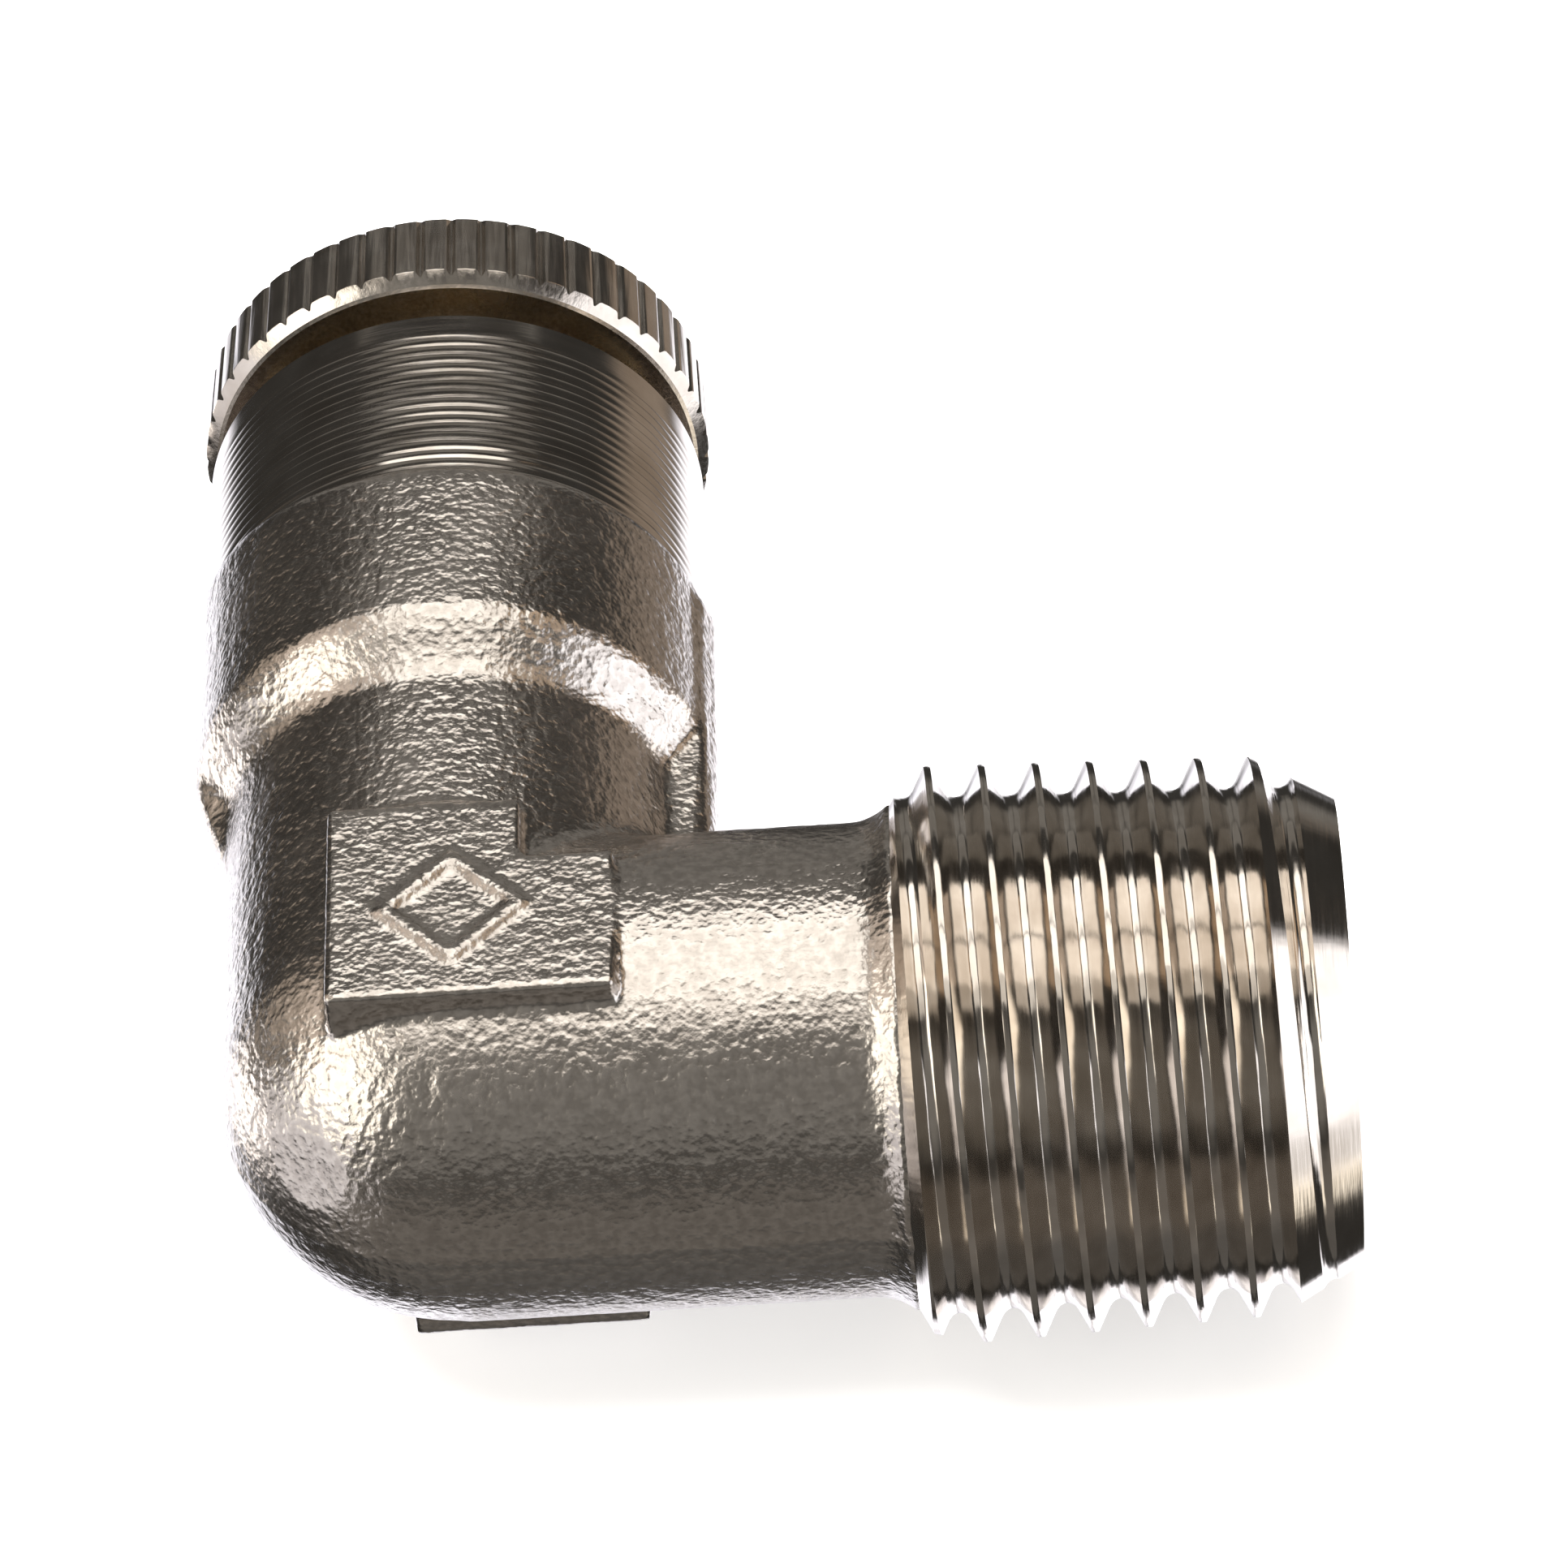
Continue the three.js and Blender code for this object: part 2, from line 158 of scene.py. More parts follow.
def outward(bm):
    """The shape with its seams closed and its faces turned outwards."""
    bmesh.ops.remove_doubles(bm, verts=bm.verts, dist=1e-4)
    bmesh.ops.recalc_face_normals(bm, faces=bm.faces)
    return bm


def turned(points, steps=160, close=False, rounding=0.0, segments=3):
    """A shape turned about the Y axis from its half section."""
    bm = wire(points, close, rounding, segments)
    bmesh.ops.spin(bm, geom=bm.verts[:] + bm.edges[:], cent=(0, 0, 0), axis=(0, 1, 0), angle=2 * pi,
                   steps=steps, use_merge=True)
    return outward(bm)


def along_x(bm):
    """Lays a shape that was turned about the Y axis along the thread's axis."""
    bmesh.ops.rotate(bm, verts=bm.verts, cent=(0, 0, 0), matrix=Matrix.Rotation(-pi / 2, 3, "Z"))
    return bm


def rod(radius, low, high, steps=96):
    return turned([(0, low), (radius, low), (radius, high), (0, high)], steps)


def block(low, high, rounding=0.0):
    bm = bmesh.new()
    bmesh.ops.create_cube(bm, size=1)
    low, high = Vector(low), Vector(high)
    bmesh.ops.scale(bm, verts=bm.verts, vec=high - low)
    bmesh.ops.translate(bm, verts=bm.verts, vec=(low + high) / 2)
    if rounding:
        bmesh.ops.bevel(bm, geom=bm.edges[:], offset=rounding, segments=2, profile=0.5, affect="EDGES",
                        material=-1)
    return bm


def sliced(bm, place, normal, clear_outer=False):
    """Cuts a line of edges round the shape with a plane. clear_outer takes away what lies beyond it."""
    bmesh.ops.bisect_plane(bm, geom=bm.verts[:] + bm.edges[:] + bm.faces[:], plane_co=place, plane_no=normal,
                           clear_outer=clear_outer)


def raised(bm, faces, vec):
    """Draws the faces out by vec. Returns the moved corners and faces."""
    grown = bmesh.ops.extrude_face_region(bm, geom=faces)["geom"]
    lid = [g for g in grown if isinstance(g, bmesh.types.BMVert)]
    bmesh.ops.translate(bm, verts=lid, vec=vec)
    return lid, [g for g in grown if isinstance(g, bmesh.types.BMFace)]


def slotted(bm, count, first, low, high):
    """The shape with slots cut about the Y axis: a block from low to high, turned from the first angle."""
    slots = []
    for i in range(count):
        slot = block(low, high)
        turn = Matrix.Rotation(radians(360 / count * i + first), 3, "Y")
        bmesh.ops.rotate(slot, verts=slot.verts, cent=(0, 0, 0), matrix=turn)
        slots.append(slot)
    return carved(bm, *slots)


def bench_copy(bm):
    """The shape as an object on the bench, where modifiers can work on it. The bmesh is used up."""
    mesh = bpy.data.meshes.new("bench")
    bm.to_mesh(mesh)
    bm.free()
    piece = bpy.data.objects.new("bench", mesh)
    bpy.context.scene.collection.objects.link(piece)
    return piece


def off_bench(piece, *tools):
    """The object with its modifiers worked in, as a bmesh. The object and its tools are cleared away."""
    bpy.context.view_layer.update()
    result = bpy.data.meshes.new_from_object(piece.evaluated_get(bpy.context.evaluated_depsgraph_get()))
    bm = bmesh.new()
    bm.from_mesh(result)
    bpy.data.meshes.remove(result)
    for used in (piece, *tools):
        mesh = used.data
        bpy.data.objects.remove(used)
        bpy.data.meshes.remove(mesh)
    return bm


def carved(base, *tools, operation="DIFFERENCE"):
    """The base with each tool cut away, joined on, or kept in common."""
    blank = bench_copy(base)
    cutters = [bench_copy(tool) for tool in tools]
    for cutter in cutters:
        step = blank.modifiers.new("carve", "BOOLEAN")
        step.operation, step.solver, step.object = operation, "MANIFOLD", cutter
    return off_bench(blank, *cutters)


def fused(parts, voxel, smoothing):
    """Overlapping solids grown into one skin on a fine grid, with their meeting lines softened."""
    whole = bmesh.new()
    for part in parts:
        mesh = bpy.data.meshes.new("part")
        part.to_mesh(mesh)
        part.free()
        whole.from_mesh(mesh)
        bpy.data.meshes.remove(mesh)
    blank = bench_copy(whole)
    skin = blank.modifiers.new("skin", "REMESH")
    skin.mode, skin.voxel_size = "VOXEL", voxel
    soft = blank.modifiers.new("soft", "SMOOTH")
    soft.factor, soft.iterations = 0.5, smoothing
    return off_bench(blank)


def eased(bm, weight, iterations):
    """Smooths the skin where weight(point) says so."""
    piece = bench_copy(bm)
    zone = piece.vertex_groups.new(name="zone")
    for vertex in piece.data.vertices:
        amount = weight(vertex.co)
        if amount > 0.01:
            zone.add([vertex.index], amount, "REPLACE")
    soft = piece.modifiers.new("ease", "SMOOTH")
    soft.factor, soft.iterations, soft.vertex_group = 0.5, iterations, zone.name
    return off_bench(piece)


def ramp(value, low, high):
    """0 below low, 1 above high, and an easy slope between them."""
    share = min(1.0, max(0.0, (value - low) / (high - low)))
    return share * share * (3 - 2 * share)


# ---------------------------------------------------------------- forged elbow

def tube_leg_blank():
    """Tube leg with its shoulder and boss. The boss's end slopes, so the turned mouth cuts it unevenly."""
    shoulder = BOSS_TOP - BOSS_L
    points = [(0, 0), (TUBE_LEG_R, 0), (TUBE_LEG_R, shoulder - SHOULDER_L)]
    steps, rounded, straight = 8, 0.35, 0.65
    for i in range(1, steps + 1):
        rise = rounded * (1 - cos(pi * i / steps)) / 2 + straight * i / steps
        points.append((TUBE_LEG_R + (BOSS_R - TUBE_LEG_R) * rise, shoulder - SHOULDER_L * (1 - i / steps)))
    points += [(BOSS_R, BOSS_TOP - 0.3), (BOSS_R - 0.02, BOSS_TOP - 0.15), (BAND_R - 0.15, BOSS_TOP + 0.12),
               (0, BOSS_TOP + 0.12)]
    bm = turned(points, 128)
    for v in bm.verts:
        left = max(0.0, -v.co.x / BOSS_R)
        v.co.y += BOSS_TILT * left**2 * ramp(v.co.y, BOSS_TOP - 1.6, BOSS_TOP - 0.3)
    return bm


def thread_leg_blank():
    """Thread leg, flaring up to where the machining starts."""
    points = [(0, 0), (LEG_R, 0), (LEG_R, COVE_START)]
    steps = 6
    for i in range(1, steps + 1):
        share = i / steps
        points.append((LEG_R + COVE_RISE * share**2, COVE_START + (COVE_END - COVE_START) * share))
    points.append((0, COVE_END))
    return along_x(turned(points, 128))


def heel_ball():
    bm = bmesh.new()
    bmesh.ops.create_uvsphere(bm, u_segments=96, v_segments=64, radius=HEEL_R)
    return bm


def flash_lands():
    """Trimmed flash: full up the inner side, fading out down the outer side."""
    inner_half, inner_draft, outer_half, outer_draft = 1.4, 0.68, 1.2, 0.75
    inner = block((2, 2, -inner_half), (BOSS_R + 0.08, BOSS_TOP - 0.45, inner_half), 0.04)
    sliced(inner, (BOSS_R - 0.12, 0, 0), (1, 0, 0))
    for v in inner.verts:
        if v.co.x > BOSS_R - 0.1:
            v.co.z *= inner_draft
    start, run_out = 4.4, 6.7
    outer = block((0.04 - BOSS_R, start, -outer_half), (-2, BOSS_TOP - 1.5, outer_half), 0.05)
    sliced(outer, (0, run_out, 0), (0, 1, 0))
    for v in outer.verts:
        if v.co.x < -3:
            v.co.z *= outer_draft
            if v.co.y < 5.5:
                v.co.x = -TUBE_LEG_R + 0.06
    return [inner, outer]


def pad(side, x0, y0):
    """L-shaped raised pad: side 1 is the top, side -1 is underneath."""
    x1, y1, arm_x, arm_y, rounding = 1.45, 2.7, 3.0, 1.35, 0.07
    corners = [(x0, y0), (arm_x, y0), (arm_x, arm_y), (x1, arm_y), (x1, y1), (x0, y1)]
    bm = bmesh.new()
    face = bm.faces.new([bm.verts.new((x, y, side * PAD_FOOT)) for x, y in corners])
    raised(bm, [face], (0, 0, side * (PAD_TOP - PAD_FOOT)))
    outward(bm)
    uprights = [e for e in bm.edges if abs(e.verts[0].co.z - e.verts[1].co.z) > 1]
    bmesh.ops.bevel(bm, geom=uprights, offset=rounding, segments=2, profile=0.5, affect="EDGES", material=-1)
    return bm


def emblem():
    """Plain raised lozenge with a sunk middle."""
    rooted, draft, rim, slope, sunk = 0.3, 0.94, 0.17, 0.1, 0.13
    bm = bmesh.new()
    bmesh.ops.create_circle(bm, cap_ends=True, radius=LOZENGE_R, segments=4)
    bmesh.ops.translate(bm, verts=bm.verts, vec=(0, 0, PAD_TOP - rooted))
    lid, top = raised(bm, bm.faces[:], (0, 0, rooted + LOZENGE_RISE))
    bmesh.ops.scale(bm, verts=lid, vec=(draft, draft, 1))
    bmesh.ops.inset_region(bm, faces=top, thickness=rim, depth=0)
    bmesh.ops.inset_region(bm, faces=top, thickness=slope, depth=-sunk)
    bmesh.ops.translate(bm, verts=bm.verts, vec=LOZENGE_PLACE)
    return outward(bm)


def inner_crease(point):
    """How near a point is to the hollow line where the two legs meet."""
    if point.x + point.y < 1.0 or abs(point.x - point.y) > 2.5:
        return 0.0
    return exp(-((point.x - point.y) / 1.1) ** 2) * ramp(point.x + point.y, 1.0, 3.5)


def outer_fade(point):
    """How near a point is to where the outer flash runs out into the leg."""
    return 0.7 * ramp(-point.x, 2.4, 3.2) * ramp(point.y, 3.4, 4.4) * (1 - ramp(point.y, 6.8, 8.2))


def shot_blasted(bm):
    """Pits and grains of the blasted skin, the trimmed parting line, and the small flat on the heel."""
    bm.normal_update()
    for v in bm.verts:
        p = v.co
        beyond = p.dot(HEEL_FLAT) - HEEL_FLAT_AT
        pits = noise.noise(p * FINE_PITS) * PIT_DEPTH
        pits += noise.noise(p * BROAD_PITS + Vector((7, 3, 1))) * PIT_DEPTH
        seam = 0.0
        if p.y < -2 or (p.x < -2 and p.y < 5):
            seam = SEAM_RISE * exp(-((p.z - SEAM_Z) / SEAM_HALF) ** 2)
        if beyond > 0 or p.z > PAD_TOP + 0.02:
            pits *= CALM
        if beyond > 0:
            p = p - HEEL_FLAT * beyond
        v.co = p + v.normal * (pits + seam)
    return bm


def bores():
    """Everything that is drilled out of the body."""
    thread_bore = along_x(rod(THREAD_BORE_R + 0.3, THREAD_END - THREAD_BORE_L + 0.2, THREAD_END))
    passage = along_x(rod(PASSAGE_R, 0, THREAD_END, 64))
    corner = bmesh.new()
    bmesh.ops.create_uvsphere(corner, u_segments=48, v_segments=32, radius=PASSAGE_R)
    return [
        rod(CARTRIDGE_R + 0.2, CARTRIDGE_FLOOR - 0.1, MOUTH),
        rod(SOCKET_R, TUBE_STOP, MOUTH),
        rod(PASSAGE_R, 0, MOUTH, 64),
        corner,
        passage,
        thread_bore,
    ]


def forged_elbow():
    """The legs grown together, then the pads and the lozenge on them, blasted, and drilled."""
    legs = fused([tube_leg_blank(), thread_leg_blank(), heel_ball(), *flash_lands()], LEGS_GRID, 3)
    legs = eased(legs, lambda point: max(inner_crease(point), outer_fade(point)), 60)
    skin = fused([legs, pad(1, -1.8, -1.78), pad(-1, -1.0, -1.98), emblem()], SKIN_GRID, 1)
    return carved(shot_blasted(skin), *bores())


# ---------------------------------------------------------------- taper thread

def thread_section():
    """One pitch of the thread's section, crest to crest, as [depth, station] points with a round root."""
    half = PITCH / 2
    flank_depth = THREAD_DEPTH - ROOT_R * (1 - sin(FLANK))
    arc = [(-ROOT_R * cos(radians(a)) + ROOT_R - THREAD_DEPTH, half + ROOT_R * sin(radians(a)))
           for a in range(-60, 61, 12)]
    crest = CREST_FLAT / 2
    down = (-flank_depth, crest + flank_depth * tan(FLANK))
    up = (-flank_depth, PITCH - down[1])
    nick = CREST_NICK
    return [(0, 0), (0, crest - nick), (-nick * 0.4, crest + nick * 0.3), down, *arc, up,
            (-nick * 0.4, PITCH - crest - nick * 0.3), (0, PITCH - crest + nick), (0, PITCH)]


def crest_radius(x):
    """The taper: the crests' radius at a station."""
    return GAUGE_R - CREST_LOSS + (THREAD_END - GAUGE_L - x) * TAPER


def threaded_bar():
    """A long bar cut with the thread: one turn is screwed, copied along the bar, then tapered."""
    steps, turns = 200, 11
    first = CREST_AT + PITCH / 2 - (turns - 2) * PITCH
    bm = wire([(GAUGE_R + depth, first + s) for depth, s in thread_section()])
    bmesh.ops.spin(bm, geom=bm.verts[:] + bm.edges[:], cent=(0, 0, 0), axis=(0, 1, 0),
                   dvec=(0, PITCH / steps, 0), angle=2 * pi, steps=steps)
    one_turn = bm.verts[:] + bm.edges[:] + bm.faces[:]
    for i in range(1, turns):
        copy = bmesh.ops.duplicate(bm, geom=one_turn)["geom"]
        moved = [g for g in copy if isinstance(g, bmesh.types.BMVert)]
        bmesh.ops.translate(bm, verts=moved, vec=(0, i * PITCH, 0))
    bmesh.ops.remove_doubles(bm, verts=bm.verts, dist=1e-4)
    for station, normal in ((first + 1.1 * PITCH, -1), (first + (turns - 0.1) * PITCH, 1)):
        sliced(bm, (0, station, 0), (0, normal, 0), clear_outer=True)
        rim = [e for e in bm.edges if e.is_boundary and abs(e.verts[0].co.y - station) < 1e-3
               and abs(e.verts[1].co.y - station) < 1e-3]
        bmesh.ops.contextual_create(bm, geom=rim)
    for v in bm.verts:
        r = hypot(v.co.x, v.co.z)
        wear = CREST_WEAR * noise.noise(v.co * 4.0)
        wanted = r - GAUGE_R + crest_radius(v.co.y) + wear
        v.co.x *= wanted / r
        v.co.z *= wanted / r
    return along_x(outward(bm))


def thread_blank():
    """What the thread is cut in: a steep shoulder, the taper, and the chamfer at the end."""
    nose = THREAD_END - NOSE_L
    points = [(0, 7.0), (LEG_R - 0.3, 7.0), (LEG_R + 0.2, 7.58), (4.67, 7.83), (4.70, 7.99), (4.64, 8.03),
              (crest_radius(8.12), 8.12), (crest_radius(nose), nose), (NOSE_R, THREAD_END), (0, THREAD_END)]
    bm = along_x(turned(points, 256))
    for v in bm.verts:
        if v.co.x > THREAD_END - 0.01:
            v.co += NOSE_SHIFT
    return bm


def taper_thread():
    """The threaded bar trimmed to its blank, and bored with a small chamfer at the mouth."""
    bar = carved(threaded_bar(), thread_blank(), operation="INTERSECT")
    floor, chamfer, past = THREAD_END - THREAD_BORE_L, THREAD_END - 0.14, THREAD_END + 0.06
    bore = [(0, floor), (THREAD_BORE_R, floor), (THREAD_BORE_R, chamfer), (THREAD_BORE_R + 0.2, past),
            (0, past)]
    return carved(bar, along_x(turned(bore, 128)), along_x(rod(PASSAGE_R, 6, THREAD_END, 64)))


# ---------------------------------------------------------------- turned mouth

def turned_mouth():
    """Turned end of the boss with the tool's ridges, and the bore that holds the cartridge."""
    points = [(CARTRIDGE_R + 0.3, CARTRIDGE_FLOOR - 0.2), (CARTRIDGE_R + 0.3, BOSS_TOP - 0.9),
              (BAND_R - 0.004, BOSS_TOP - 0.9)]
    station, high = BOSS_TOP - 0.5, MOUTH - 0.5
    noise.seed_set(4)
    while station < high:
        step = RIDGE_STEP * (1 + 0.15 * noise.noise(Vector((station * 3.1, 0, 0))))
        depth = RIDGE_DEPTH * (1 + 0.8 * noise.noise(Vector((station * 1.7, 5, 0))))
        points += [(BAND_R - depth * share, station + step * along) for along, share in RIDGE]
        station += step
    points += [(BAND_R - 0.008, station), (BAND_R - 0.008, MOUTH - 0.1), (BAND_R - 0.1, MOUTH),
               (CARTRIDGE_R + 0.08, MOUTH), (CARTRIDGE_R, MOUTH - 0.08), (CARTRIDGE_R, CARTRIDGE_FLOOR),
               (SOCKET_R, CARTRIDGE_FLOOR), (SOCKET_R, CARTRIDGE_FLOOR - 0.2)]
    return turned(points, 192, close=True)


# ---------------------------------------------------------------- release ring and sleeve

def knurled_blank():
    """A bar with straight knurls: flat lands and narrow V grooves."""
    step = 2 * pi / KNURLS
    half, corner, worn = KNURL_LAND / 2, 0.07, 0.012
    land = ((-half, worn), (-half + corner, 0.0), (0, -0.004), (half - corner, 0.0), (half, worn))
    bm = bmesh.new()
    rim = []
    for i in range(KNURLS):
        lean = 0.03 * step * noise.noise(Vector((i * 1.7, 2, 0)))
        deep = KNURL_DEPTH * (1 + 0.18 * noise.noise(Vector((i * 2.3, 9, 0))))
        for share, sunk in (*land, (0.47, deep), (0.53, deep)):
            angle, radius = (i + share) * step + lean, RING_R - sunk
            rim.append(bm.verts.new((radius * cos(angle), RING_Y - 0.5, radius * sin(angle))))
    lid, _ = raised(bm, [bm.faces.new(rim)], (0, RING_TOP - RING_Y + 1, 0))
    bmesh.ops.scale(bm, verts=lid, vec=(0.98, 1, 0.98))
    return outward(bm)


def release_ring():
    """The knurled bar turned to the ring's outline, dished on top and bored for the sleeve."""
    small = RING_R - 0.2
    points = [(0, RING_Y), (small - 0.08, RING_Y), (small - 0.015, RING_Y + 0.03),
              (RING_R - 0.03, RING_Y + 0.215), (RING_R, RING_Y + 0.275), (RING_R + 0.02, RING_Y + 0.35),
              (RING_R + 0.02, RING_TOP - 0.17), (RING_R - 0.02, RING_TOP - 0.13), (small, RING_TOP),
              (0, RING_TOP)]
    ring = carved(knurled_blank(), turned(points, 416), operation="INTERSECT")
    dish = [(0, RING_TOP - 0.06), (SLEEVE_R + 0.5, RING_TOP - 0.06), (SLEEVE_R + 1.5, RING_TOP + 0.001),
            (SLEEVE_R + 1.5, RING_TOP + 1), (0, RING_TOP + 1)]
    return carved(ring, rod(SLEEVE_R + 0.02, RING_Y - 1, RING_TOP + 1, 160), turned(dish, 160))


def pusher_sleeve():
    """Split sleeve whose nose opens the toothed ring."""
    low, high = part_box("pusher_sleeve")
    tip = (low.y - CROSSING.y) / MM
    nose_r = (high.x - low.x) / MM / 2
    shoulder = tip + 0.9
    points = [(SOCKET_R, tip), (SLEEVE_R - 0.25, tip), (nose_r, tip + 0.35), (nose_r, shoulder),
              (SLEEVE_R, shoulder), (SLEEVE_R, RING_TOP - 0.12), (SOCKET_R + 0.16, RING_TOP),
              (SOCKET_R, RING_TOP - 0.2)]
    sleeve = turned(points, 144, close=True, rounding=0.04, segments=3)
    return slotted(sleeve, SLEEVE_JAWS, 45, (0, tip - 1, -0.3), (nose_r + 1, tip + 1.9, 0.3))


# ---------------------------------------------------------------- cartridge

def span(node):
    """A node's outer radius and its lowest and highest station along the tube leg, in millimetres."""
    low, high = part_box(node)
    return (high.x - low.x) / MM / 2, (low.y - CROSSING.y) / MM, (high.y - CROSSING.y) / MM


def retaining_bush():
    """Bush pressed into the mouth, stepped inside to hold the sleeve's nose."""
    outer, low, high = span("retaining_bush")
    slide, recess = SLEEVE_R + 0.07, SLEEVE_R + 0.25
    step = span("pusher_sleeve")[1] + 0.93
    points = [(recess, low), (outer, low), (outer, high), (slide + 0.15, high), (slide, high - 0.15),
              (slide, step), (recess, step)]
    return turned(points, 144, close=True, rounding=0.035)


def grip_support():
    """Ring with a cone on its inner face, under the teeth."""
    outer, low, high = span("grip_support")
    top_r = outer - 0.8
    points = [(SOCKET_R, low), (outer, low), (outer, high), (top_r, high),
              (SOCKET_R, high - (top_r - SOCKET_R) * tan(TOOTH_CONE) - 0.03)]
    return turned(points, 144, close=True, rounding=0.03)


def grip_ring():
    """Stamped ring with its teeth bent down to the tube."""
    outer, low, high = span("grip_ring")
    rim, tip, thick = outer - 0.8, 2.03, 0.16
    drop = (rim - tip) * tan(TOOTH_CONE)
    points = [(rim, high - thick), (outer, high - thick), (outer, high), (rim, high), (tip, high - drop),
              (tip, high - drop - thick)]
    ring = turned(points, 180, close=True, rounding=0.015, segments=2)
    return slotted(ring, TEETH, 0, (0, low - 1, -0.16), (rim, high + 1, 0.16))


def tube_seal():
    """Round seal for the tube."""
    outer, low, high = span("tube_seal")
    core, middle, facets = (high - low) / 2, (high + low) / 2, 32
    circle = [(outer - core + core * cos(2 * pi * i / facets), middle + core * sin(2 * pi * i / facets))
              for i in range(facets)]
    return turned(circle, 128, close=True)


# ---------------------------------------------------------------- finishes

class Finish:
    """A metal or rubber finish, built node by node. Patterns are measured in millimetres."""

    def __init__(self, name):
        self.material = bpy.data.materials.new(name)
        self.material.use_nodes = True
        self.tree = self.material.node_tree
        self.tree.nodes.clear()
        self.shader = self.add("ShaderNodeBsdfPrincipled")
        out = self.add("ShaderNodeOutputMaterial")
        self.tree.links.new(self.shader.outputs[0], out.inputs[0])
        self.coords = self.add("ShaderNodeTexCoord")

    def add(self, kind, **settings):
        node = self.tree.nodes.new(kind)
        for key, value in settings.items():
            setattr(node, key, value)
        return node

    def join(self, source, node, socket):
        self.tree.links.new(source, node.inputs[socket])

    def grain(self, scale, stretch=(1, 1, 1), detail=2.0):
        """Noise with about `scale` grains to a millimetre, squeezed or stretched along each axis."""
        place = self.add("ShaderNodeMapping")
        place.inputs["Scale"].default_value = [scale * s / MM for s in stretch]
        self.join(self.coords.outputs["Object"], place, "Vector")
        texture = self.add("ShaderNodeTexNoise")
        texture.inputs["Scale"].default_value = 1.0
        texture.inputs["Detail"].default_value = detail
        self.join(place.outputs[0], texture, "Vector")
        return texture.outputs["Fac"]

    def between(self, value, low, high, start=0.3, end=0.7):
        """A number that runs from low to high as the pattern runs from start to end."""
        span_node = self.add("ShaderNodeMapRange")
        for socket, amount in (("From Min", start), ("From Max", end), ("To Min", low), ("To Max", high)):
            span_node.inputs[socket].default_value = amount
        self.join(value, span_node, "Value")
        return span_node.outputs["Result"]

    def colours(self, value, dark, light, start=0.3, end=0.7):
        """Base colour from dark to light as the pattern runs from start to end."""
        tint = self.add("ShaderNodeValToRGB")
        for stop, place, colour in zip(tint.color_ramp.elements, (start, end), (dark, light)):
            stop.position, stop.color = place, (*colour, 1)
        self.join(value, tint, "Fac")
        self.join(tint.outputs["Color"], self.shader, "Base Color")

    def relief(self, layers):
        """Stacks [height, depth in millimetres] layers into one bump."""
        normal = None
        for height, depth in layers:
            bump = self.add("ShaderNodeBump")
            bump.inputs["Strength"].default_value = 1.0
            bump.inputs["Distance"].default_value = depth * MM
            self.join(height, bump, "Height")
            if normal:
                self.join(normal, bump, "Normal")
            normal = bump.outputs["Normal"]
        self.join(normal, self.shader, "Normal")


def forged_nickel():
    finish = Finish("forged_nickel")
    cells = finish.grain(6.0, detail=1.0)
    fine = finish.grain(15.0, detail=1.0)
    patches = finish.grain(0.5, detail=2.0)
    finish.shader.inputs["Metallic"].default_value = 1.0
    finish.colours(cells, (0.52, 0.485, 0.45), (0.66, 0.62, 0.58), 0.36, 0.64)
    finish.join(finish.between(patches, 0.22, 0.28), finish.shader, "Roughness")
    finish.relief([(cells, 0.029), (fine, 0.006)])
    return finish.material


def machined_nickel(name, stretch, roughness, line_depth):
    """Bright plated metal with the tool's fine lines, drawn out where stretch is small."""
    finish = Finish(name)
    lines = finish.grain(16.0, stretch, detail=2.0)
    stain = finish.grain(1.1, detail=3.0)
    finish.shader.inputs["Metallic"].default_value = 1.0
    finish.colours(stain, (0.56, 0.51, 0.455), (0.72, 0.675, 0.625))
    finish.join(finish.between(lines, *roughness), finish.shader, "Roughness")
    finish.relief([(lines, line_depth), (stain, 0.004)])
    return finish.material


def turned_brass():
    finish = Finish("brass")
    lines = finish.grain(12.0, (0.05, 1.0, 0.05))
    finish.shader.inputs["Metallic"].default_value = 1.0
    finish.colours(lines, (0.55, 0.44, 0.27), (0.72, 0.60, 0.38))
    finish.join(finish.between(lines, 0.18, 0.32), finish.shader, "Roughness")
    finish.relief([(lines, 0.004)])
    return finish.material


def rolled_stainless():
    finish = Finish("stainless")
    brushing = finish.grain(9.0, (1.0, 0.2, 0.08))
    finish.shader.inputs["Metallic"].default_value = 1.0
    finish.colours(brushing, (0.50, 0.50, 0.51), (0.68, 0.68, 0.69))
    finish.join(finish.between(brushing, 0.16, 0.3), finish.shader, "Roughness")
    finish.relief([(brushing, 0.003)])
    return finish.material


def seal_rubber():
    finish = Finish("rubber")
    dust = finish.grain(8.0, detail=3.0)
    finish.colours(dust, (0.008, 0.008, 0.009), (0.03, 0.03, 0.032))
    finish.join(finish.between(dust, 0.45, 0.65), finish.shader, "Roughness")
    finish.relief([(dust, 0.006)])
    return finish.material


# ---------------------------------------------------------------- fitting the pieces to the frame

def settle(name, bm, material, body, crease=35):
    """Carries a finished shape to its place, in metres, smooth except along its edges, on its body."""
    outward(bm)
    bmesh.ops.dissolve_degenerate(bm, edges=bm.edges, dist=1e-5)
    bmesh.ops.transform(bm, matrix=Matrix.Translation(CROSSING) @ Matrix.Scale(MM, 4), verts=bm.verts)
    mesh = bpy.data.meshes.new(name)
    bm.to_mesh(mesh)
    bm.free()
    mesh.shade_smooth()
    mesh.set_sharp_from_angle(angle=radians(crease))
    mesh.materials.clear()
    mesh.materials.append(material)
    piece = bpy.data.objects.new(name, mesh)
    bpy.context.scene.collection.objects.link(piece)
    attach(piece, body)
    return piece


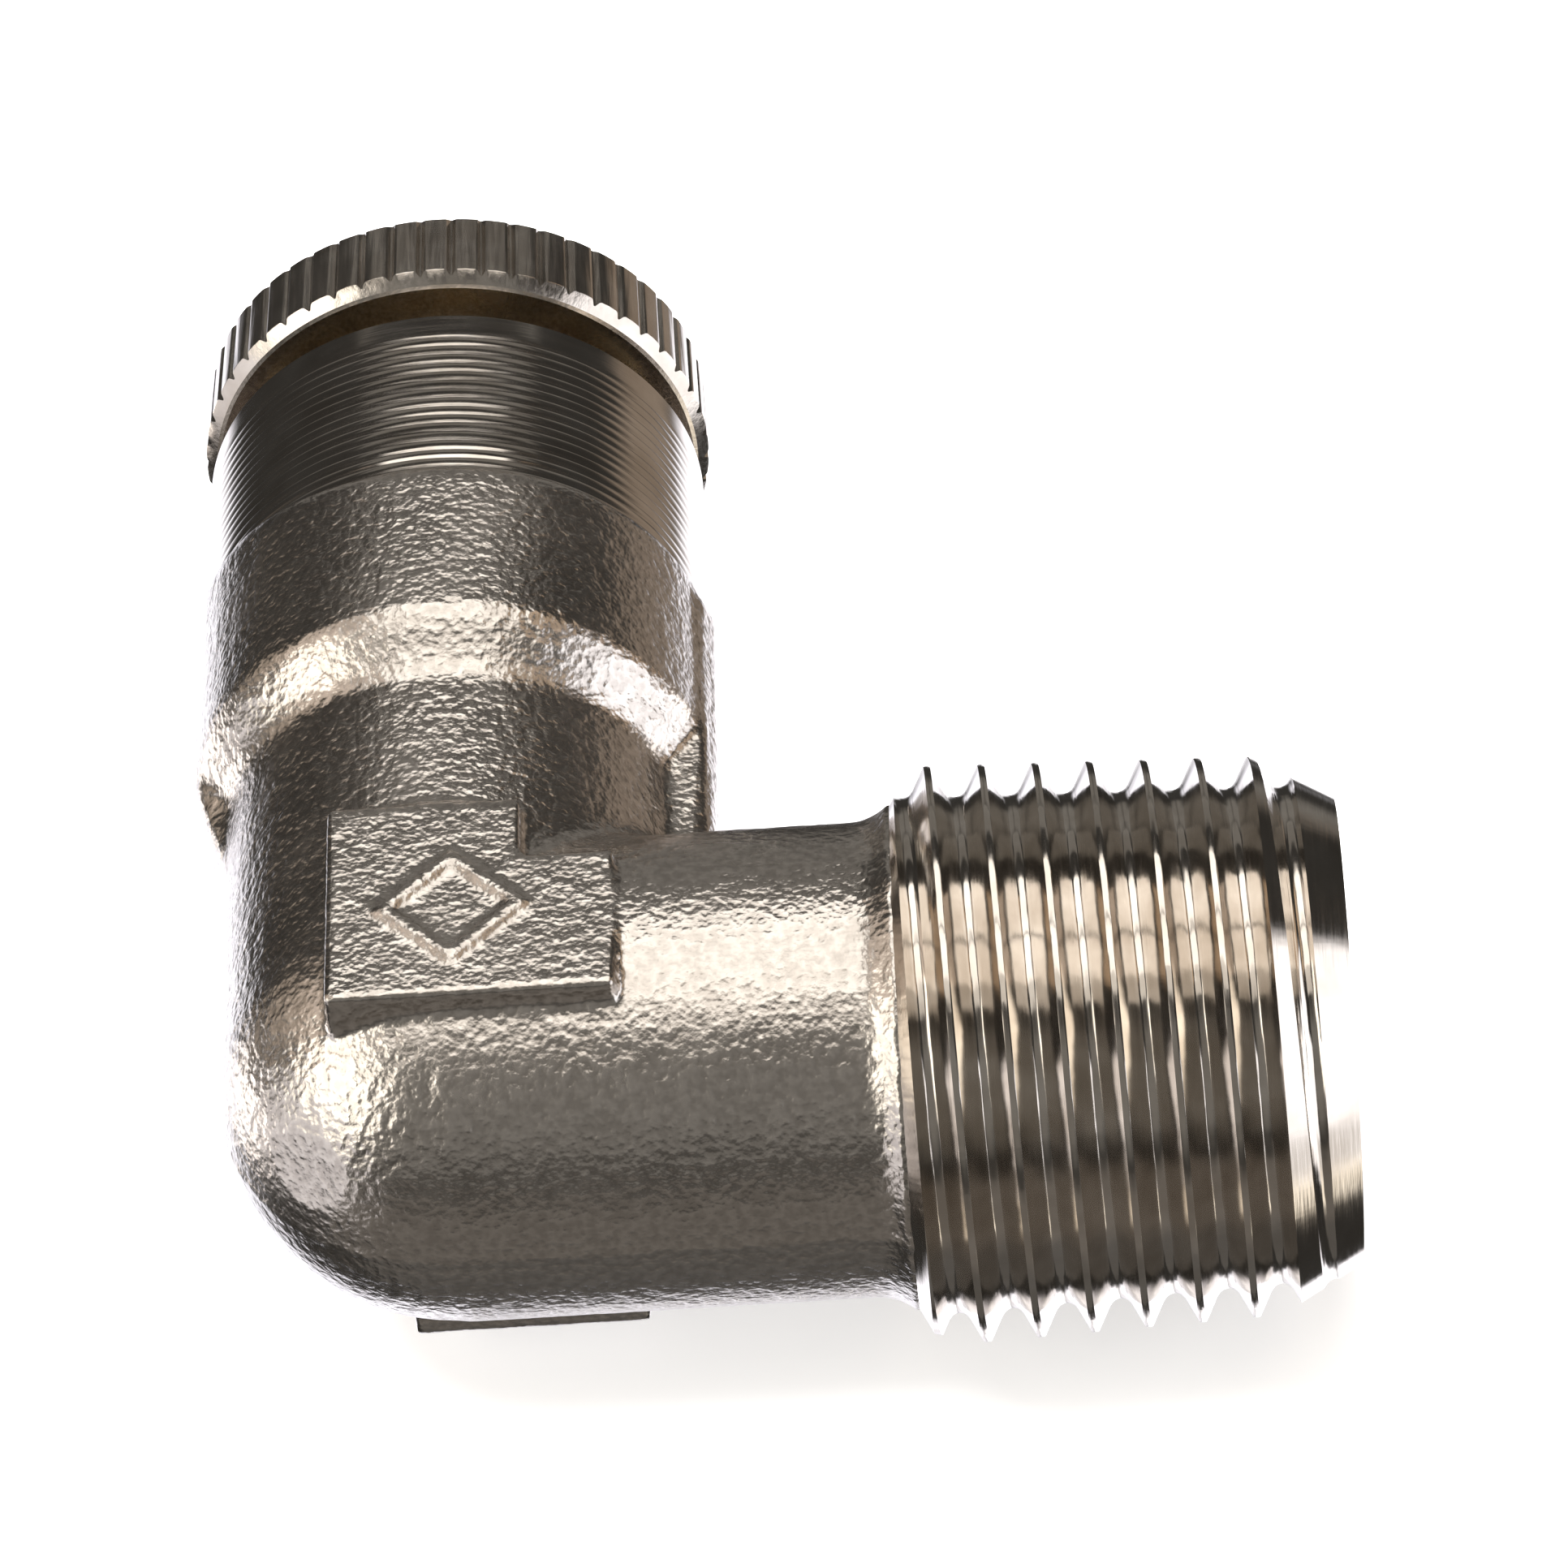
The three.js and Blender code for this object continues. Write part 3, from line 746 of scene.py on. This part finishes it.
def assemble():
    """Makes every piece, in its finish, on its body, in the place of the node it stands for."""
    plated = forged_nickel()
    thread_finish = machined_nickel("thread_nickel", (1.0, 0.05, 0.05), (0.08, 0.15), 0.0025)
    mouth_finish = machined_nickel("mouth_nickel", (0.05, 1.0, 0.05), (0.1, 0.17), 0.0012)
    ring_finish = machined_nickel("ring_nickel", (1.0, 0.05, 1.0), (0.16, 0.26), 0.003)
    brass, stainless, rubber = turned_brass(), rolled_stainless(), seal_rubber()
    fixed, collar = "fitting_body", "release_collar"

    elbow = settle("forged_elbow", forged_elbow(), plated, fixed, crease=60)
    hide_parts("elbow_body")
    settle("taper_thread", taper_thread(), thread_finish, fixed, crease=30)
    settle("turned_mouth", turned_mouth(), mouth_finish, fixed)
    for name, node, shape, finish, body, slot_name, crease in (
        ("knurled_ring", "release_ring", release_ring, ring_finish, collar, "turned_nickel", 20),
        ("split_sleeve", "pusher_sleeve", pusher_sleeve, ring_finish, collar, "turned_nickel", 35),
        ("bush", "retaining_bush", retaining_bush, brass, fixed, "brass", 35),
        ("support_ring", "grip_support", grip_support, brass, fixed, "brass", 35),
        ("toothed_ring", "grip_ring", grip_ring, stainless, fixed, "stainless", 35),
        ("seal_ring", "tube_seal", tube_seal, rubber, fixed, "rubber", 35),
    ):
        piece = settle(name, shape(), finish, body, crease)
        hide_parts(node)


assemble()


# ---------------------------------------------------------------- studio

HORIZON = 0.02            # overhead panels end this far above the horizon
DIM = (0.042, 0.040, 0.037)
WHITE = (1.95, 1.86, 1.74)
SOFT_WHITE = (1.95, 1.85, 1.72)
FAINT = (0.95, 0.89, 0.81)
BEYOND = (0.18, 0.17, 0.155)
TAN = (0.72, 0.53, 0.36)
CREAM = (0.84, 0.71, 0.6)
COOL = (1.9, 1.88, 1.95)
BRIGHT_EDGE = (3.0, 2.8, 2.7)
MIDDLE, RIGHT, LEFT = (-0.5, 0.5), (0.62, 1.05), (-2.6, -0.62)

OVERHEAD_PANELS = (       # across, along, soft edge, colour
    (MIDDLE, (0.19, 0.82), 0.03, WHITE),
    (MIDDLE, (-0.22, 0.15), 0.03, SOFT_WHITE),
    (MIDDLE, (-0.46, -0.22), 0.04, FAINT),
    ((-0.9, 0.9), (1.45, 3.2), 0.1, BEYOND),
    (RIGHT, (0.19, 0.78), 0.04, TAN),
    (RIGHT, (-0.2, 0.15), 0.04, TAN),
    (LEFT, (0.19, 0.78), 0.04, CREAM),
    (LEFT, (-0.2, 0.15), 0.04, CREAM),
)
WALL_PANELS = (           # bearing, rise, soft edge, colour
    # thread's side
    ((60, 102), (-30, 34), 4, COOL),
    ((38, 60), (-10, 30), 4, (1.8, 1.78, 1.84)),
    ((38, 60), (-26, -10), 4, (0.9, 0.88, 0.88)),
    ((38, 60), (-42, -26), 4, (1.5, 1.38, 1.18)),
    ((98, 123), (-31, -13), 4, BRIGHT_EDGE),
    ((104, 118), (0, 22), 4, (0.62, 0.44, 0.29)),
    # heel's side
    ((-88, -44), (8, 48), 5, (2.5, 2.35, 2.1)),
    ((-96, -48), (-26, 6), 6, (1.0, 0.96, 0.98)),
    ((-126, -99), (-33, -15), 4, BRIGHT_EDGE),
    ((-124, -104), (0, 28), 4, (0.5, 0.41, 0.33)),
    # low at the back
    ((128, 164), (-80, -27), 6, (1.8, 1.78, 1.92)),
    ((-164, -128), (-80, -25), 6, (1.8, 1.8, 1.98)),
    ((164, 180), (-80, -36), 5, COOL),
    ((-180, -164), (-80, -38), 5, (1.1, 1.08, 1.15)),
    # level at the back
    ((122, 150), (-22, 3), 6, (0.28, 0.22, 0.17)),
    ((152, 180), (-10, 16), 6, BEYOND),
    ((-180, -152), (-10, 16), 6, BEYOND),
    # in front, from high to low
    ((-50, 34), (2, 55), 12, (0.19, 0.18, 0.165)),
    ((-60, 60), (-50, -12), 8, (0.15, 0.135, 0.12)),
    ((-60, 60), (-88, -50), 8, (0.09, 0.085, 0.08)),
)

CAMERA_PLACE = Vector((10.50, -106.81, 111.22))     # millimetres from the crossing
CAMERA_RIGHT = Vector((0.9976, -0.0218, -0.0652))
CAMERA_DOWN = Vector((-0.0618, -0.6997, -0.7117))
CAMERA_AHEAD = Vector((-0.0301, 0.7141, -0.6994))
CAMERA_SENSOR = 36.0
CAMERA_LENS = 210.2


class Surround:
    """The studio as the metal sees it: dark, with soft panels overhead, at the sides and low at the back."""

    def __init__(self, base):
        self.world = bpy.data.worlds.new("studio_surround")
        bpy.context.scene.world = self.world
        self.world.use_nodes = True
        self.tree = self.world.node_tree
        self.tree.nodes.clear()
        coords = self.add("ShaderNodeTexCoord")
        parts = self.add("ShaderNodeSeparateXYZ")
        self.link(coords.outputs["Generated"], parts.inputs[0])
        self.x, self.y, self.z = parts.outputs
        height = self.maths("MAXIMUM", self.z, HORIZON)
        self.top_x = self.maths("DIVIDE", self.x, height)
        self.top_y = self.maths("DIVIDE", self.y, height)
        self.round = self.maths("ARCTAN2", self.x, self.maths("MULTIPLY", self.y, -1.0))
        self.rise = self.maths("ARCSINE", self.z)
        self.light = self.tinted(None, base)

    def add(self, kind):
        return self.tree.nodes.new(kind)

    def link(self, source, target):
        self.tree.links.new(source, target)

    def maths(self, operation, first, second=None):
        node = self.add("ShaderNodeMath")
        node.operation = operation
        for socket, value in zip(node.inputs, (first, second)):
            if isinstance(value, (int, float)):
                socket.default_value = value
            elif value is not None:
                self.link(value, socket)
        return node.outputs[0]

    def stretch(self, value, low, high, edge):
        """1 between low and high, 0 outside, with soft edges."""
        sides = []
        for place, out in ((low, (0.0, 1.0)), (high, (1.0, 0.0))):
            node = self.add("ShaderNodeMapRange")
            node.interpolation_type = "SMOOTHSTEP"
            limits = (place - edge, place + edge, *out)
            for socket, amount in zip(("From Min", "From Max", "To Min", "To Max"), limits):
                node.inputs[socket].default_value = amount
            self.link(value, node.inputs["Value"])
            sides.append(node.outputs["Result"])
        return self.maths("MULTIPLY", *sides)

    def tinted(self, amount, colour):
        """The colour, scaled by amount where one is given."""
        node = self.add("ShaderNodeVectorMath")
        node.operation = "SCALE"
        node.inputs[0].default_value = colour
        if amount is None:
            node.inputs["Scale"].default_value = 1.0
        else:
            self.link(amount, node.inputs["Scale"])
        return node.outputs[0]

    def shine(self, amount, colour):
        """Adds a colour to the light that is there already."""
        total = self.add("ShaderNodeVectorMath")
        total.operation = "ADD"
        self.link(self.light, total.inputs[0])
        self.link(self.tinted(amount, colour), total.inputs[1])
        self.light = total.outputs[0]

    def overhead(self, x, y, edge, colour):
        """A panel in the plane one unit above: x to the thread's side, y to the tube's side."""
        across = self.stretch(self.top_x, *x, edge)
        along = self.stretch(self.top_y, *y, edge)
        above = self.maths("GREATER_THAN", self.z, HORIZON)
        self.shine(self.maths("MULTIPLY", self.maths("MULTIPLY", across, along), above), colour)

    def wall(self, bearing, rise, edge, colour):
        """A panel round the object: bearing 0 is in front, 90 on the thread's side; both in degrees."""
        across = self.stretch(self.round, *(radians(a) for a in bearing), radians(edge))
        up = self.stretch(self.rise, *(radians(a) for a in rise), radians(edge))
        self.shine(self.maths("MULTIPLY", across, up), colour)

    def finish(self):
        background = self.add("ShaderNodeBackground")
        out = self.add("ShaderNodeOutputWorld")
        self.link(self.light, background.inputs["Color"])
        self.link(background.outputs[0], out.inputs[0])


def light_the_studio():
    studio = Surround(DIM)
    for panel in OVERHEAD_PANELS:
        studio.overhead(*panel)
    for panel in WALL_PANELS:
        studio.wall(*panel)
    studio.finish()


def pale_floor():
    """White paper under the object, which the metal doesn't mirror."""
    bm = bmesh.new()
    bmesh.ops.create_grid(bm, x_segments=1, y_segments=1, size=1.5)
    mesh = bpy.data.meshes.new("floor")
    bm.to_mesh(mesh)
    bm.free()
    floor = bpy.data.objects.new("floor", mesh)
    bpy.context.scene.collection.objects.link(floor)
    paper = Finish("white_paper")
    fibres = paper.grain(0.4, detail=2.0)
    paper.colours(fibres, (0.93, 0.93, 0.93), (0.95, 0.95, 0.95))
    paper.shader.inputs["Roughness"].default_value = 0.9
    paper.shader.inputs["Specular IOR Level"].default_value = 0.0
    paper.shader.inputs["Emission Color"].default_value = (1, 1, 1, 1)
    paper.shader.inputs["Emission Strength"].default_value = 0.55
    mesh.materials.append(paper.material)
    floor.visible_glossy = False


def soft_light(name, place, size, watts):
    """A large soft light that lights the floor. The metal doesn't mirror it."""
    lamp = bpy.data.lights.new(name, "AREA")
    lamp.shape, lamp.size, lamp.energy = "DISK", size, watts
    holder = bpy.data.objects.new(name, lamp)
    bpy.context.scene.collection.objects.link(holder)
    holder.location = place
    holder.rotation_euler = (-Vector(place)).to_track_quat("-Z", "Y").to_euler()
    holder.visible_glossy = False


def camera():
    data = bpy.data.cameras.new("camera")
    data.sensor_width, data.lens = CAMERA_SENSOR, CAMERA_LENS
    data.clip_start, data.clip_end = 0.005, 10.0
    eye = bpy.data.objects.new("camera", data)
    bpy.context.scene.collection.objects.link(eye)
    turn = Matrix((CAMERA_RIGHT, -CAMERA_DOWN, -CAMERA_AHEAD)).transposed().to_4x4()
    eye.matrix_world = Matrix.Translation(CROSSING + CAMERA_PLACE * MM) @ turn
    bpy.context.scene.camera = eye


light_the_studio()
pale_floor()
soft_light("key", place=(-0.12, 0.05, 0.4), size=0.35, watts=3.0)
camera()
bpy.context.scene.view_settings.view_transform = "Standard"
